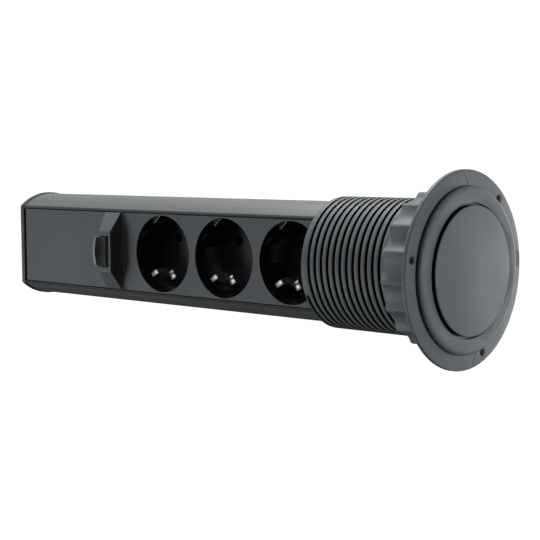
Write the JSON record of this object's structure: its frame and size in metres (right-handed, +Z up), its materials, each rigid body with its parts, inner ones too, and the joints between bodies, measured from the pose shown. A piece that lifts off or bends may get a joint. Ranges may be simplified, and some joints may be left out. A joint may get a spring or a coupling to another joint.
{
  "type": "pop-up desk socket",
  "caption": "Pop-up desk socket: a round tower with earthed plug wells slides up through a flanged, threaded sleeve that a lobed nut clamps in a desk hole; a push button latches it.",
  "frame": {"origin": "centre of the flange's underside, where it lies on the desk top", "axes": "+Z up along the tower, towards the lid; the sockets face -Y"},
  "size_m": [0.088, 0.088, 0.2982],
  "materials": {
    "grey_plastic": "fine satin",
    "shell_metal": "dark anodised",
    "panel_plastic": "satin",
    "well_plastic": "gloss",
    "clip_metal": "nickel plated",
    "bar_metal": "plain",
    "screw_metal": "zinc plated",
    "bush_rubber": "matte"
  },
  "bodies": {
    "sleeve": {"flange_sleeve": "grey_plastic"},
    "nut": {"clamp_nut": "grey_plastic"},
    "tower": {"tower_profile": "shell_metal", "socket_panel": "panel_plastic", "latch_panel": "panel_plastic", "socket_insert_1": "well_plastic", "socket_insert_2": "well_plastic", "socket_insert_3": "well_plastic", "earth_strap_1": "clip_metal", "earth_strap_2": "clip_metal", "earth_strap_3": "clip_metal", "earth_busbar": "clip_metal", "live_busbar": "bar_metal", "neutral_busbar": "bar_metal", "contact_carrier": "well_plastic", "carrier_screws": "screw_metal", "terminal_block": "well_plastic", "terminal_screws": "screw_metal", "cap_ring": "grey_plastic", "lid_disc": "grey_plastic", "cap_screws": "screw_metal", "end_cap": "grey_plastic", "end_cap_screws": "screw_metal", "inlet_bush": "bush_rubber", "spring_plate": "well_plastic", "spring_plate_screws": "screw_metal"},
    "button": {"latch_button": "panel_plastic", "latch_spring": "screw_metal"}
  },
  "joints": [
    {"name": "tower_lift", "type": "slide", "parent": "sleeve", "child": "tower", "axis": [0, 0, 1], "range_m": [0, 0.2207]},
    {"name": "button_press", "type": "slide", "parent": "tower", "child": "button", "axis": [0, 1, 0], "range_m": [0, 0.0025], "stiffness_N_per_m": 400, "springref_m": -0.002, "deforming": ["latch_spring"]},
    {"name": "nut_travel", "type": "slide", "parent": "sleeve", "child": "nut", "axis": [0, 0, -1], "range_m": [0, 0.045]}
  ]
}
